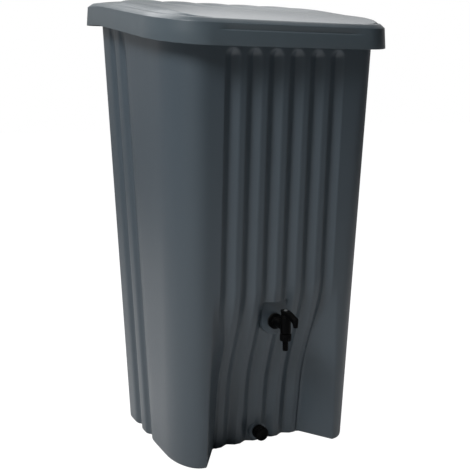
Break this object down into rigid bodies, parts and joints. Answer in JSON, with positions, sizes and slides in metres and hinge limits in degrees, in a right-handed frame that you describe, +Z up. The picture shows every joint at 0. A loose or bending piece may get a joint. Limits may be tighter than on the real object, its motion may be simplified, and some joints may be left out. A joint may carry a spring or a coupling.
{
  "type": "rain barrel",
  "caption": "Tapered, fluted rain barrel with a sloping lift-off lid, a niche for a watering can, a quarter-turn outlet tap and a screw-capped drain.",
  "frame": {"origin": "centre of the tank's footprint on the ground", "axes": "+Z up, -Y the fluted front with the tap and the niche, +X to the right of a person facing the front"},
  "size_m": [0.552, 0.546, 1.0363],
  "materials": {
    "tank_plastic": "satin moulded anthracite",
    "lid_plastic": "satin moulded anthracite",
    "black_plastic": "smooth black moulding",
    "rubber": "black EPDM",
    "steel": "zinc plated"
  },
  "bodies": {
    "barrel": {"tank": "tank_plastic", "tap_body": "black_plastic", "tap_outer_seal": "rubber", "tap_inner_seal": "rubber", "tap_backnut": "black_plastic", "tap_gland": "black_plastic", "spout_nut": "black_plastic", "hose_nozzle": "black_plastic", "nozzle_seal": "rubber", "drain_spigot": "black_plastic", "drain_outer_seal": "rubber", "drain_inner_seal": "rubber", "drain_backnut": "black_plastic"},
    "lid": {"lid": "lid_plastic"},
    "valve": {"tap_plug": "black_plastic", "tap_plug_rings": "rubber", "tap_lever": "black_plastic", "tap_lever_screw": "steel"},
    "drain_cap": {"drain_cap": "black_plastic", "drain_cap_seal": "rubber"}
  },
  "joints": [
    {"name": "lid_lift", "type": "slide", "parent": "barrel", "child": "lid", "axis": [0, 0, 1], "range_m": [0, 0.3]},
    {"name": "valve_turn", "type": "hinge", "parent": "barrel", "child": "valve", "pos_m": [0, -0.235, 0.33], "axis": [0, 0, 1], "range_deg": [0, 90]},
    {"name": "drain_cap_turn", "type": "hinge", "parent": "barrel", "child": "drain_cap", "pos_m": [0, -0.128, 0.028], "axis": [0, -1, 0], "range_deg": [0, 1080]}
  ]
}
